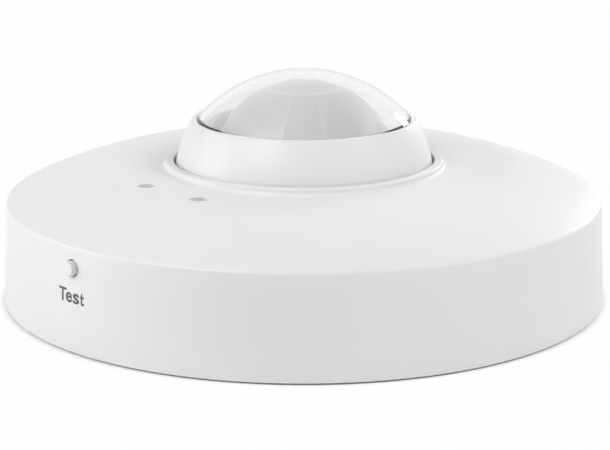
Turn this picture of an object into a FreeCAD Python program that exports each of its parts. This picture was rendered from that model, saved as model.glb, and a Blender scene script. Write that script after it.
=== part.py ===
import FreeCAD, Part
import math
import os

from FreeCAD import Vector

# Round surface-mounted ceiling motion sensor, in millimetres.
# The origin is the centre of the mounting face, +Z points out of the lens and the
# test button faces -Y.

# Cover: side wall, rim and top
cover_diameter = 110.0      # across the open end
mount_gap = 0.3             # the cover ends this far above the mounting face
wall_lean = 0.9             # how far the side wall leans in on its way to the rim
cover_wall = 2.0            # thickness of the moulded shell
rim_height = 18.3           # sharp edge between the side wall and the top
rim_round = 0.45
dome_width = 15.6           # rim to crest, measured along the radius
dome_rise = 5.6             # rim to crest, measured upwards
dome_arc = 66.0             # radius of the top's section between rim and crest
crest_round = 8.0
dish_depth = 0.25           # the flat zone sinks this much from the crest to the collar

# Collar round the lens
collar_width = 1.6
collar_gap = 0.5            # open gap between the collar and the lens ring
collar_height = 1.25
collar_fillet = 0.9         # concave, where the collar meets the flat zone
collar_edge = 0.3
collar_depth = 4.0          # length of the collar's bore

# Gussets that stiffen the cover's corner between the side wall and the top
gusset_count = 16
gusset_thickness = 1.2
gusset_width = 6.0          # along the underside of the top
gusset_height = 5.0         # down the side wall

# Lens and the ring that clamps it
lens_radius = 19.5          # outside of the skirt
lens_sphere = 26.1          # outside radius of the dome
lens_wall = 1.0
lens_flange = 1.9           # how far the flange stands out from the skirt
lens_flange_thickness = 1.4
lens_skirt = 7.8            # flange seat to the start of the dome
lens_segments = 16
lens_tiers = (28.0, 18.0, 8.0)   # tier edges, in degrees from the lens axis
ring_gap = 0.25             # ring bore to lens skirt
ring_lip = 0.56             # flat lip of the ring round the lens
ring_sphere_drop = 12.4     # centre of the ring's spherical face below the start of the dome
ring_skirt = 1.0            # ring below the centre of its sphere
seat_drop = 0.4             # lens seat below the collar's top
slide_fit = 0.05            # radial clearance of pieces that plug or run together

# Sensor head
head_wall = 1.7
head_shoulder = 1.2         # lens flange to the outside of the head
head_foot_distance = 4.4    # head to the screws in its feet
head_foot = 3.2             # radius of one foot
head_foot_thickness = 2.0
head_screw_hole = 1.3
head_screw_head = 2.3
head_screw_head_height = 1.6
head_groove = 0.4           # groove and bead that hold the ring on the head
head_floor = 1.5            # white floor round the sensor
head_floor_drop = 1.0       # floor below the sensor's face
head_floor_gap = 0.3        # floor to the sensor's can
can_radius = 4.6
can_height = 4.2
can_flange = 0.5
window_width = 4.6
window_depth = 3.4
window_inset = 0.3

# Base plate and board
base_floor = 2.0
base_gap = 0.3              # base plate to the cover's wall
base_rim_wall = 1.6
base_rim_height = 6.0
board_gap = 2.5             # floor to the underside of the board
board_thickness = 1.6
board_margin = 4.7          # board edge to the inside of the base plate's rim
board_rib = 2.0
post_radius = 3.0
post_inset = 4.3            # board edge to the centre of a front post
post_angle = 19.0           # front posts, either side of the button
rear_post_inset = 7.4
post_edge_gap = 0.5         # rear posts to the board's straight edge
board_seat = 0.6            # board overhangs the rib that carries it
board_screw_hole = 1.25
board_screw_head = 2.7
board_screw_head_height = 1.8
board_screw_gap = 0.6       # rear screws to the chips' legs
screw_spacing = 60.0        # ceiling screws, centre to centre
slot_width = 4.5
slot_length = 10.0
slot_boss = 2.0             # wall of the raised edge round each slot
slot_boss_height = 1.0
notch_width = 11.0          # board notch that leaves the ceiling screws free

# Snap hooks of the base plate and their ledges in the cover
hook_angles = (45.0, 135.0, 225.0, 315.0)
hook_width = 8.0
hook_thickness = 1.6
hook_height = 11.0
hook_barb = 1.2
hook_gap = 0.4              # hook to the cover's ledge
hook_play = 0.3             # barb to the cover's wall
ledge_height = 1.6
ledge_width = 9.0
ledge_clearance = 0.1       # barb above its ledge

# Cable entry
entry_bore = 3.5            # radius of the cable's hole in the rubber bush
entry_wall = 1.3            # neck of the bush
entry_flange = 0.9          # the flange stands out this far from the neck
entry_flange_thickness = 1.2
entry_cone_height = 3.0     # the bush's tapered collar
entry_tip = 0.6             # wall of the bush at the end of the collar

# Test button and its switch
button_drop = 3.6           # button axis below the rim
button_radius = 1.33
button_clearance = 0.3
button_stand = 1.05         # how far the button stands out of the wall
button_round = 0.3
button_travel = 0.5
button_flange = 2.2         # radius of the guided part behind the wall
button_guide_wall = 1.0
button_flange_length = 3.0
button_guide = 5.0          # depth of the guide behind the wall
button_overlap = 0.5        # head and flange of the button run into each other
button_skin = 2.3           # wall left in front of the guide
stem_radius = 1.5
plunger_radius = 1.7
plunger_stand = 1.5
switch_size = 6.2
switch_depth = 3.6
switch_edge = 2.0           # switch face to the board's edge
switch_back = 0.7           # wall behind the plunger's bore
plunger_rest = 0.1          # plunger's end to the bore's end when pressed
bracket_thickness = 0.8
bracket_inset = 0.6         # bracket behind the switch's face

# Windows in the top and the light guides below them
guide_circle = 32.8         # distance from the lens axis
guide_angle = 12.0          # either side of the button
guide_hole = 1.5
guide_recess = 0.9          # guide below the surface
guide_wall = 1.3
guide_boss_depth = 4.3
guide_flange = 0.6
guide_flange_thickness = 1.0
light_gap = 0.3             # light guide to the chip below it
led_radius = 1.45
led_height = 4.4
led_rim = 0.3               # flange round the foot of the indicator
led_rim_height = 0.8
light_chip = 4.0
light_chip_height = 1.5

# Parts on the board
terminal_pitch = 5.0
terminal_poles = 5
terminal_depth = 8.6
terminal_height = 10.0
terminal_chamfer = 1.0
terminal_gap = 2.4          # head to terminal block
terminal_mouth = 3.6
terminal_floor = 1.2        # block under the clamps
terminal_back = 2.0         # block behind the clamps
terminal_screw = 1.5
terminal_screw_length = 1.6
terminal_screw_head = 1.4
terminal_well_gap = 0.15    # screw head to the sides of its well
clamp_wall = 0.5
clamp_head = 1.2            # room above the wire's mouth
clamp_length = 4.4
case_round = 0.6            # upright corners of the relay and the film capacitor
relay_size = (20.0, 10.0, 10.2)
film_capacitor_size = (18.0, 8.5, 12.0)
large_part_gap = 1.8        # relay and film capacitor to the head's feet
large_part_angle = 60.0     # either side of the button
trimmer_distance = 10.0     # beyond the circle of the head's screws
trimmer_angle = 32.0
trimmer_size = 6.8
trimmer_height = 4.8
rotor_radius = 2.3
rotor_depth = 1.5
rotor_stand = 0.5
rotor_slot_width = 0.7
rotor_slot_depth = 0.8
capacitor_radius = 4.0
capacitor_height = 11.5
capacitor_distance = 8.5    # beyond the circle of the head's screws
capacitor_angles = (100.0, 116.0)
varistor_radius = 4.5
varistor_thickness = 4.0
varistor_lift = 1.2
varistor_distance = 8.0
varistor_angle = -98.0
fuse_radius = 4.2
fuse_height = 8.0
fuse_distance = 10.0
fuse_angle = -116.0
chip_gap = 2.8              # terminal block to the chips beside it
chip_edge = 0.6             # chips to the board's straight edge
chip_stand = 0.2
chip_chamfer = 0.3
chip_leg = 0.9              # legs stand out this far
rectifier_size = (6.4, 8.4, 3.2)
controller_size = (6.0, 10.0, 2.4)
rectifier_legs = 2          # on each side
controller_legs = 8
resistor_radius = 2.1
resistor_length = 11.0
resistor_distance = 16.0
resistor_angle = -106.0
lead_radius = 0.35

# Places worked out from the sizes above
cover_radius = cover_diameter / 2.0
board_bottom = base_floor + board_gap
board_top = board_bottom + board_thickness
crest_radius = cover_radius - wall_lean - dome_width
crest_height = rim_height + dome_rise
dish_height = crest_height - dish_depth
collar_top = dish_height + collar_height
collar_bottom = collar_top - collar_depth
lens_seat = collar_top - seat_drop
flange_top = lens_seat + lens_flange_thickness
dome_start = lens_seat + lens_skirt
lens_centre = dome_start - math.sqrt(lens_sphere ** 2 - lens_radius ** 2)
flange_radius = lens_radius + lens_flange
ring_bore = lens_radius + ring_gap
ring_top_radius = ring_bore + ring_lip
ring_sphere = math.hypot(ring_top_radius, ring_sphere_drop)
ring_centre = dome_start - ring_sphere_drop
ring_bottom = ring_centre - ring_skirt
collar_inner = math.sqrt(ring_sphere ** 2 - (collar_top - ring_centre) ** 2) + collar_gap
collar_outer = collar_inner + collar_width
collar_bore = ring_sphere + collar_gap
head_outer = flange_radius + head_shoulder
head_inner = head_outer - head_wall
head_foot_radius = head_outer + head_foot_distance
base_radius = cover_radius - cover_wall - base_gap
base_rim_outer = base_radius - 0.4
base_rim_inner = base_rim_outer - base_rim_wall
board_radius = base_rim_inner - board_margin
board_edge_y = head_outer + terminal_gap + terminal_depth
terminal_half = terminal_poles * terminal_pitch / 2
entry_neck = entry_bore + entry_wall
entry_y = (board_edge_y + base_rim_inner) / 2.0
button_height = rim_height - button_drop
switch_face = board_radius - switch_edge
plunger_bore = switch_depth - switch_back


def wall_radius(height, inset=0.0):
    """Radius of the cover's side wall at a height, less an inset."""
    share = (height - mount_gap) / (rim_height - mount_gap)
    return cover_radius - wall_lean * share - inset


def flat_zone_height(radius):
    """Height of the flat zone's surface between the collar and the crest."""
    share = (crest_radius - radius) / (crest_radius - collar_outer)
    return crest_height - dish_depth * share


def polar(radius, degrees):
    """Point at an angle from -Y, positive towards +X."""
    angle = math.radians(degrees)
    return radius * math.sin(angle), -radius * math.cos(angle)


def cylinder(radius, bottom, top, place=(0.0, 0.0)):
    return Part.makeCylinder(radius, top - bottom, Vector(place[0], place[1], bottom))


def tube(outer, inner, bottom, top, place=(0.0, 0.0)):
    return cylinder(outer, bottom, top, place).cut(cylinder(inner, bottom, top, place))


def rod_y(radius, start, end, height, across=0.0):
    """Rod along Y from start to end, at a height."""
    low = min(start, end)
    return Part.makeCylinder(radius, abs(end - start), Vector(across, low, height), Vector(0, 1, 0))


def box(low, high):
    return Part.makeBox(high[0] - low[0], high[1] - low[1], high[2] - low[2], Vector(*low))


def centred_box(size, bottom, place=(0.0, 0.0)):
    low = (place[0] - size[0] / 2, place[1] - size[1] / 2, bottom)
    high = (place[0] + size[0] / 2, place[1] + size[1] / 2, bottom + size[2])
    return box(low, high)


def turned(shape, degrees):
    """Copy of a shape, turned about the lens axis."""
    copy = shape.copy()
    copy.rotate(Vector(0, 0, 0), Vector(0, 0, 1), degrees)
    return copy


def spin(points):
    """Solid of revolution from a closed outline of (radius, height) points."""
    corners = [Vector(radius, 0, height) for radius, height in points]
    return spin_edges(Part.makePolygon(corners + corners[:1]).Edges)


def spin_edges(edges):
    face = Part.Face(Part.Wire(edges))
    return face.revolve(Vector(0, 0, 0), Vector(0, 0, 1), 360)


def sector(outer, inner, bottom, top, middle, width):
    """Piece of a ring, centred on an angle from +X, cut to a width across."""
    bar = box((0, -width / 2, bottom), (outer + 1, width / 2, top))
    return tube(outer, inner, bottom, top).common(turned(bar, middle))


def bulged(start, end, radius):
    """Arc between two points that bulges up and out."""
    chord = end - start
    sagitta = radius - math.sqrt(radius ** 2 - (chord.Length / 2) ** 2)
    normal = Vector(-chord.z, 0, chord.x).normalize()
    if normal.z < 0:
        normal = -normal
    return Part.Arc(start, (start + end) / 2 + normal * sagitta, end).toShape()


def rounded(solid, radius, height, amount, tolerance=0.02):
    """Fillet the circular edges about the lens axis that lie at a radius and height."""
    found = []
    for edge in solid.Edges:
        curve = edge.Curve
        if not isinstance(curve, Part.Circle):
            continue
        same_radius = abs(curve.Radius - radius) < tolerance
        if same_radius and abs(curve.Center.z - height) < tolerance:
            found.append(edge)
    return solid.makeFillet(amount, found)


def join(first, *others):
    return first.multiFuse(list(others)).removeSplitter()


def save(name, shapes):
    """Write one STEP file for a node; a list becomes a group of separate solids."""
    if isinstance(shapes, list):
        shape = Part.makeCompound(shapes)
    else:
        shape = Part.Solid(shapes.Solids[0]) if len(shapes.Solids) == 1 else shapes
    for solid in shape.Solids:
        if not solid.isValid():
            raise ValueError(name + " is not a valid solid")
    shape.exportStep("parts/" + name + ".step")


def screw(head, head_height, shank, top, length, place):
    """Slotted pan head screw that seats with the underside of its head at top."""
    body = join(cylinder(head, top, top + head_height, place),
                cylinder(shank, top - length, top, place))
    rim = [edge for edge in body.Edges if isinstance(edge.Curve, Part.Circle)
           and abs(edge.Curve.Center.z - top - head_height) < 0.001]
    body = body.makeChamfer(head_height * 0.3, rim)
    slot = centred_box((head * 2.2, head * 0.3, head_height), top + head_height * 0.5, place)
    return body.cut(slot)


# Front cover


def cover_shell():
    rim = Vector(cover_radius - wall_lean, 0, rim_height)
    crest = Vector(crest_radius, 0, crest_height)
    inner_rim = Vector(rim.x - cover_wall, 0, rim_height - cover_wall / 2)
    inner_crest = Vector(crest_radius, 0, crest_height - cover_wall)
    under = dish_height - cover_wall
    tube_outer = collar_bore + collar_width
    path = [
        Vector(cover_radius - cover_wall, 0, mount_gap),
        Vector(cover_radius, 0, mount_gap),
        rim,
        crest,
        Vector(collar_outer, 0, dish_height),
        Vector(collar_outer, 0, collar_top),
        Vector(collar_inner, 0, collar_top),
        Vector(collar_bore, 0, collar_bottom),
        Vector(tube_outer, 0, collar_bottom),
        Vector(tube_outer, 0, under),
        inner_crest,
        inner_rim,
    ]
    edges = []
    for start, end in zip(path, path[1:] + path[:1]):
        if start is rim or start is inner_crest:
            edges.append(bulged(start, end, dome_arc))
        else:
            edges.append(Part.makeLine(start, end))
    shell = spin_edges(edges)
    fillet = min(collar_fillet, collar_height * 0.7)
    edge = min(collar_edge, collar_height * 0.25)
    shell = rounded(shell, rim.x, rim_height, rim_round)
    shell = rounded(shell, crest_radius, crest_height, crest_round)
    shell = rounded(shell, collar_outer, dish_height, fillet)
    shell = rounded(shell, collar_outer, collar_top, edge)
    return rounded(shell, collar_inner, collar_top, edge / 2)


def guide_places():
    return [polar(guide_circle, side * guide_angle) for side in (-1, 1)]


def gusset(degrees):
    """Triangular web between the side wall and the top, at an angle from -Y."""
    inner = wall_radius(rim_height, cover_wall)
    outer = wall_radius(rim_height, cover_wall / 2)
    under_rim = rim_height - cover_wall / 2
    under_crest = crest_height - cover_wall
    tip = inner - gusset_width
    tip_height = under_rim + gusset_width * (under_crest - under_rim) / (inner - crest_radius)
    foot = under_rim - gusset_height
    corners = [(outer, foot), (inner, foot), (tip, tip_height), (tip, tip_height + cover_wall / 2),
               (outer, under_rim)]
    path = [Vector(radius, -gusset_thickness / 2, height) for radius, height in corners]
    web = Part.Face(Part.makePolygon(path + path[:1])).extrude(Vector(0, gusset_thickness, 0))
    return turned(web, degrees - 90.0)


def front_cover():
    cover = cover_shell()
    guide_radius = button_flange + slide_fit
    shoulder = -(wall_radius(button_height) - button_skin)
    boss = rod_y(guide_radius + button_guide_wall, -wall_radius(button_height) + cover_wall / 2,
                 shoulder + button_guide, button_height)
    additions = [boss]
    boss_top = flat_zone_height(guide_circle) - cover_wall / 2
    boss_bottom = flat_zone_height(guide_circle) - cover_wall - guide_boss_depth
    for place in guide_places():
        additions.append(cylinder(guide_hole + guide_wall, boss_bottom, boss_top, place))
    ledge_top = hook_height - hook_barb * 1.5 - ledge_clearance
    ledge_inner = hook_outer() + hook_gap
    for angle in hook_angles:
        ledge = sector(wall_radius(ledge_top, cover_wall / 2), ledge_inner,
                       ledge_top - ledge_height, ledge_top, angle, ledge_width)
        additions.append(ledge)
    for count in range(gusset_count):
        additions.append(gusset((count + 0.5) * 360.0 / gusset_count))
    cover = join(cover, *additions)
    cover = cover.cut(rod_y(guide_radius, shoulder, 0.0, button_height))
    cover = cover.cut(rod_y(button_radius + button_clearance, -cover_radius - 1, shoulder + 1,
                            button_height))
    for place in guide_places():
        cover = cover.cut(cylinder(guide_hole, boss_bottom - 1, crest_height + 1, place))
    return cover


# Lens, ring and sensor head


def polygon(radius, height):
    """Closed polygon with one corner on each seam between two lens segments."""
    step = 360.0 / lens_segments
    corners = []
    for count in range(lens_segments):
        x, y = polar(radius, (count + 0.5) * step)
        corners.append(Vector(x, y, height))
    return Part.makePolygon(corners + corners[:1])


def lens():
    skirt_inner = lens_radius - lens_wall
    skirt = [(0, lens_seat), (flange_radius, lens_seat), (flange_radius, flange_top),
             (lens_radius, flange_top), (lens_radius, dome_start)]
    corners = [Vector(radius, 0, height) for radius, height in skirt]
    apex = Vector(0, 0, lens_centre + lens_sphere)
    middle = math.asin(lens_radius / lens_sphere) / 2
    on_dome = Vector(lens_sphere * math.sin(middle), 0, lens_centre + lens_sphere * math.cos(middle))
    edges = [Part.makeLine(a, b) for a, b in zip(corners, corners[1:])]
    edges.append(Part.Arc(corners[-1], on_dome, apex).toShape())
    edges.append(Part.makeLine(apex, corners[0]))
    outside = spin_edges(edges)
    inner_sphere = lens_sphere - lens_wall
    inner_start = lens_centre + math.sqrt(inner_sphere ** 2 - skirt_inner ** 2)
    rings = [polygon(skirt_inner, lens_seat - 1), polygon(skirt_inner, inner_start)]
    for tier in lens_tiers:
        angle = math.radians(tier)
        rings.append(polygon(inner_sphere * math.sin(angle),
                             lens_centre + inner_sphere * math.cos(angle)))
    inside = [Part.makeLoft([a, b], True, True) for a, b in zip(rings, rings[1:])]
    return outside.cut(join(inside[0], *inside[1:]))


def lens_ring():
    pocket = flange_radius + slide_fit
    sleeve = head_outer + slide_fit
    low_radius = math.sqrt(ring_sphere ** 2 - ring_skirt ** 2)
    path = [(low_radius, ring_bottom), (sleeve, ring_bottom), (sleeve, lens_seat),
            (pocket, lens_seat), (pocket, flange_top), (ring_bore, flange_top),
            (ring_bore, dome_start), (ring_top_radius, dome_start)]
    corners = [Vector(radius, 0, height) for radius, height in path]
    edges = [Part.makeLine(a, b) for a, b in zip(corners, corners[1:])]
    slope = math.asin(ring_sphere_drop / ring_sphere) / 2
    on_face = Vector(ring_sphere * math.cos(slope), 0, ring_centre + ring_sphere * math.sin(slope))
    equator = Part.Arc(corners[-1], on_face, corners[0]).toShape()
    ring = spin_edges(edges + [equator])
    ring = rounded(ring, ring_top_radius, dome_start, ring_lip / 3)
    bead_low, bead_high = bead_heights(0.1)
    bead = spin([(sleeve + 0.2, bead_low), (sleeve - head_groove / 2, (bead_low + bead_high) / 2),
                 (sleeve + 0.2, bead_high)])
    return join(ring, bead)


def bead_heights(clearance):
    """Bottom and top of the snap bead inside the ring, shrunk by a clearance."""
    middle = (ring_bottom + lens_seat) / 2
    half = head_groove * 1.5 - clearance
    return middle - half, middle + half


def foot_places():
    return [polar(head_foot_radius, 45.0 + 90.0 * count) for count in range(4)]


def head_housing():
    housing = tube(head_outer, head_inner, board_top, lens_seat)
    low, high = bead_heights(0.0)
    housing = housing.cut(tube(head_outer + 1, head_outer - head_groove, low, high))
    floor_top = lens_centre - head_floor_drop
    floor = tube(head_outer - head_wall / 2, can_radius + head_floor_gap, floor_top - head_floor,
                 floor_top)
    feet = [floor]
    for place in foot_places():
        pad = cylinder(head_foot, board_top, board_top + head_foot_thickness, place)
        feet.append(pad)
    for count in range(4):
        web = box((head_outer - head_wall / 2, -head_foot, board_top),
                  (head_foot_radius, head_foot, board_top + head_foot_thickness))
        feet.append(turned(web, 45.0 + 90.0 * count))
    housing = join(housing, *feet)
    for place in foot_places():
        housing = housing.cut(cylinder(head_screw_hole, board_top - 1,
                                       board_top + head_foot_thickness + 1, place))
    return housing


def head_screws():
    seat = board_top + head_foot_thickness
    return [screw(head_screw_head, head_screw_head_height, head_screw_hole - 2 * slide_fit, seat,
                  head_foot_thickness + board_thickness, place)
            for place in foot_places()]


def sensor_stack():
    """Spacer, can and window of the pyroelectric sensor at the lens's focus."""
    can_top = lens_centre
    can_bottom = can_top - can_height
    spacer = cylinder(can_radius + can_flange, board_top, can_bottom)
    spacer = spacer.cut(cylinder(can_radius * 0.6, board_top, can_bottom - 1))
    can = join(cylinder(can_radius + can_flange, can_bottom, can_bottom + can_flange),
               cylinder(can_radius, can_bottom, can_top))
    rim = [edge for edge in can.Edges if isinstance(edge.Curve, Part.Circle)
           and abs(edge.Curve.Center.z - can_top) < 0.001]
    can = can.makeChamfer(can_flange * 0.6, rim)
    window = centred_box((window_width, window_depth, window_inset), can_top - window_inset)
    save("sensor_spacer", spacer)
    save("pir_sensor", can.cut(window))
    save("pir_window", window)


# Base plate, bush and boards


def hook_outer():
    """Outside of a hook's tongue, clear of the ledge above it."""
    height = hook_height - hook_barb * 1.5
    return wall_radius(height, cover_wall) - base_gap - hook_barb - hook_play


def post_places():
    """Two posts beside the button and two outside the chips."""
    front = [polar(board_radius - post_inset, side * post_angle) for side in (-1, 1)]
    chip_side = terminal_half + chip_gap + rectifier_size[0] + chip_leg
    rear_x = chip_side + board_screw_gap + board_screw_head
    rear_y = min(math.sqrt((board_radius - rear_post_inset) ** 2 - rear_x ** 2),
                 board_edge_y - post_radius - post_edge_gap)
    return front + [(-rear_x, rear_y), (rear_x, rear_y)]


def slot_cutter(length, width, bottom, top, centre):
    half = length / 2 - width / 2
    ends = [cylinder(width / 2, bottom, top, (centre + side * half, 0.0)) for side in (-1, 1)]
    middle = centred_box((half * 2, width, top - bottom), bottom, (centre, 0.0))
    return join(middle, *ends)


def hook(angle):
    outer = hook_outer()
    tongue = box((outer - hook_thickness, -hook_width / 2, base_floor / 2),
                 (outer, hook_width / 2, hook_height))
    root = outer - hook_thickness / 8
    under = hook_height - hook_barb * 1.5
    corners = [(root, under), (outer + hook_barb, under),
               (outer + hook_barb, hook_height - hook_barb), (root, hook_height)]
    path = [Vector(x, -hook_width / 2, z) for x, z in corners]
    barb = Part.Face(Part.makePolygon(path + path[:1])).extrude(Vector(0, hook_width, 0))
    inside = cylinder(wall_radius(hook_height, cover_wall) - base_gap, 0, hook_height)
    return turned(tongue.fuse(barb).common(inside), angle)


def base_plate():
    pieces = [cylinder(base_radius, 0, base_floor),
              tube(base_rim_outer, base_rim_inner, base_floor / 2, base_rim_height)]
    rib_outer = board_radius - board_seat
    rib = tube(rib_outer, rib_outer - board_rib, base_floor / 2, board_bottom)
    away = box((-cover_radius, board_edge_y - 2, 0), (cover_radius, cover_radius, board_bottom + 1))
    sides = box((-cover_radius, -notch_width, 0), (cover_radius, notch_width, board_bottom + 1))
    pieces.append(rib.cut(away).cut(sides))
    for side in (-1, 1):
        pieces.append(slot_cutter(slot_length + 2 * slot_boss, slot_width + 2 * slot_boss,
                                  base_floor / 2, base_floor + slot_boss_height,
                                  side * screw_spacing / 2))
    for place in post_places():
        pieces.append(cylinder(post_radius, base_floor / 2, board_bottom, place))
    for angle in hook_angles:
        pieces.append(hook(angle))
    plate = join(pieces[0], *pieces[1:])
    for place in post_places():
        plate = plate.cut(cylinder(board_screw_hole, base_floor * 0.4, board_bottom + 1, place))
    for side in (-1, 1):
        plate = plate.cut(slot_cutter(slot_length, slot_width, -1, base_floor + slot_boss_height + 1,
                                      side * screw_spacing / 2))
    return plate.cut(cylinder(entry_neck + slide_fit, -1, base_floor + 1, (0, entry_y)))


def cable_grommet():
    """Rubber bush with a tapered collar; the cable enters from the back."""
    flange = entry_neck + entry_flange
    flange_z = base_floor + entry_flange_thickness
    bush = spin([(entry_bore, 0), (entry_neck, 0), (entry_neck, base_floor), (flange, base_floor),
                 (flange, flange_z), (entry_neck, flange_z),
                 (entry_bore + entry_tip, flange_z + entry_cone_height),
                 (entry_bore, flange_z + entry_cone_height)])
    bush.translate(Vector(0, entry_y, 0))
    return bush


def main_board():
    board = cylinder(board_radius, board_bottom, board_top)
    board = board.cut(box((-cover_radius, board_edge_y, 0), (cover_radius, cover_radius, board_top)))
    notch_start = screw_spacing / 2 - notch_width / 2
    for side in (-1, 1):
        bar = centred_box((cover_radius, notch_width, board_top), 0,
                          (side * (notch_start + notch_width / 2 + cover_radius / 2), 0))
        board = board.cut(bar)
        board = board.cut(cylinder(notch_width / 2, 0, board_top, (side * screw_spacing / 2, 0)))
    for place in post_places():
        board = board.cut(cylinder(board_screw_hole + 0.3, 0, board_top, place))
    for place in foot_places():
        board = board.cut(cylinder(head_screw_hole - slide_fit, 0, board_top, place))
    return board


def board_screws():
    return [screw(board_screw_head, board_screw_head_height, board_screw_hole - slide_fit, board_top,
                  board_thickness + board_gap, place)
            for place in post_places()]


# Test button and switch


def test_button():
    shoulder = -(wall_radius(button_height) - button_skin)
    tip = -(wall_radius(button_height) + button_stand)
    head = rod_y(button_radius, tip, shoulder + button_overlap, button_height)
    rim = [edge for edge in head.Edges if isinstance(edge.Curve, Part.Circle)
           and abs(edge.Curve.Center.y - tip) < 0.001]
    head = head.makeFillet(button_round, rim)
    flange = rod_y(button_flange, shoulder, shoulder + button_flange_length, button_height)
    stem = rod_y(stem_radius, shoulder + button_flange_length / 2, -(switch_face + plunger_stand),
                 button_height)
    return join(head, flange, stem)


def tact_switch():
    half = switch_size / 2
    body = box((-half, -switch_face, button_height - half),
               (half, -switch_face + switch_depth, button_height + half))
    body = body.cut(rod_y(plunger_radius + slide_fit, -switch_face, -switch_face + plunger_bore,
                          button_height))
    pieces = [body]
    for side in (-1, 1):
        inner = side * (half - bracket_thickness / 4)
        outer = side * (half + bracket_thickness)
        leg = box((min(inner, outer), -switch_face + bracket_inset, board_top),
                  (max(inner, outer), -switch_face + switch_depth,
                   button_height + half - bracket_thickness))
        pieces.append(leg)
    back = box((-half, -switch_face + switch_depth - bracket_thickness, board_top),
               (half, -switch_face + switch_depth, button_height))
    pieces.append(back)
    return join(pieces[0], *pieces[1:])


def tact_plunger():
    inner_end = -switch_face + plunger_bore - button_travel - plunger_rest
    return rod_y(plunger_radius, -(switch_face + plunger_stand), inner_end, button_height)


# Light guides, indicator and light sensor


def light_guide(place, chip_top):
    top = flat_zone_height(guide_circle) - guide_recess
    boss_bottom = flat_zone_height(guide_circle) - cover_wall - guide_boss_depth
    radius = guide_hole - slide_fit
    rod = cylinder(radius, chip_top + light_gap, top, place)
    stop = cylinder(guide_hole + guide_flange, boss_bottom - guide_flange_thickness, boss_bottom, place)
    guide = join(rod, stop)
    rim = [edge for edge in guide.Edges if isinstance(edge.Curve, Part.Circle)
           and abs(edge.Curve.Center.z - top) < 0.001]
    return guide.makeChamfer(guide_hole * 0.15, rim)


def status_led():
    place = guide_places()[0]
    straight = led_height - led_radius
    body = join(cylinder(led_radius, board_top, board_top + straight, place),
                cylinder(led_radius + led_rim, board_top, board_top + led_rim_height, place),
                Part.makeSphere(led_radius, Vector(place[0], place[1], board_top + straight)))
    return body


def light_sensor():
    place = guide_places()[1]
    body = centred_box((light_chip, light_chip, light_chip_height), board_top, place)
    edges = [edge for edge in body.Edges if abs(edge.CenterOfMass.z - board_top - light_chip_height)
             < 0.001]
    return body.makeChamfer(chip_chamfer, edges)


# Terminal block


def pole_places():
    first = -(terminal_poles - 1) / 2 * terminal_pitch
    return [first + count * terminal_pitch for count in range(terminal_poles)]


def clamp_well():
    """Half width, bottom and top of the pocket that a clamp sits in."""
    low = board_top + terminal_floor
    return terminal_mouth / 2, low, low + terminal_mouth + clamp_head


def terminal_block():
    low_y = board_edge_y - terminal_depth
    block = box((-terminal_half, low_y, board_top),
                (terminal_half, board_edge_y, board_top + terminal_height))
    top_edges = [edge for edge in block.Edges
                 if abs(edge.CenterOfMass.z - board_top - terminal_height) < 0.001
                 and abs(edge.CenterOfMass.x) < 0.001]
    block = block.makeChamfer(terminal_chamfer, top_edges)
    half, low, high = clamp_well()
    for x in pole_places():
        mouth = box((x - half, low_y + terminal_back, low), (x + half, board_edge_y + 1, high))
        well = cylinder(terminal_screw + terminal_well_gap, (low + high) / 2,
                        board_top + terminal_height + 1, (x, screw_line()))
        block = block.cut(mouth.fuse(well))
    return block


def screw_line():
    return board_edge_y - terminal_depth / 2


def terminal_clamps():
    half, low, high = clamp_well()
    clamps = []
    reach = clamp_length / 2
    for x in pole_places():
        outside = box((x - half, screw_line() - reach, low), (x + half, screw_line() + reach, high))
        inside = box((x - half + clamp_wall, screw_line() - clamp_length, low + clamp_wall),
                     (x + half - clamp_wall, screw_line() + clamp_length, high - clamp_wall * 2))
        hole = cylinder(terminal_screw * 0.7, low + clamp_wall * 2, high + 1, (x, screw_line()))
        clamps.append(outside.cut(inside).cut(hole))
    return clamps


def terminal_screws():
    high = clamp_well()[2]
    return [screw(terminal_screw, terminal_screw_head, terminal_screw * 0.67, high,
                  terminal_screw_length, (x, screw_line())) for x in pole_places()]


# Other parts on the board


def on_board(size, side):
    """Box that stands tangentially on the board, beside the head."""
    inner = head_foot_radius + head_foot + large_part_gap
    body = centred_box(size, board_top, (0.0, -inner - size[1] / 2))
    upright = [edge for edge in body.Edges if edge.Length > size[2] - 0.001
               and abs(edge.Vertexes[0].Z - edge.Vertexes[-1].Z) > size[2] / 2]
    return turned(body.makeFillet(case_round, upright), side * large_part_angle)


def trimmer(side):
    """Body and rotor of one trimmer."""
    place = polar(head_foot_radius + trimmer_distance, side * trimmer_angle)
    top = board_top + trimmer_height
    body = centred_box((trimmer_size, trimmer_size, trimmer_height), board_top, place)
    body = body.cut(cylinder(rotor_radius + slide_fit, top - rotor_depth, top + 1, place))
    rotor = cylinder(rotor_radius, top - rotor_depth, top + rotor_stand, place)
    slot_bottom = top + rotor_stand - rotor_slot_depth
    slot = centred_box((rotor_radius * 2.2, rotor_slot_width, rotor_depth), slot_bottom, place)
    tip = centred_box((rotor_radius, rotor_slot_width * 2, rotor_depth), slot_bottom,
                      (place[0] + rotor_radius / 2, place[1]))
    return body, rotor.cut(slot).cut(tip.common(cylinder(rotor_radius * 0.6, 0, top + 2, place)))


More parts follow.
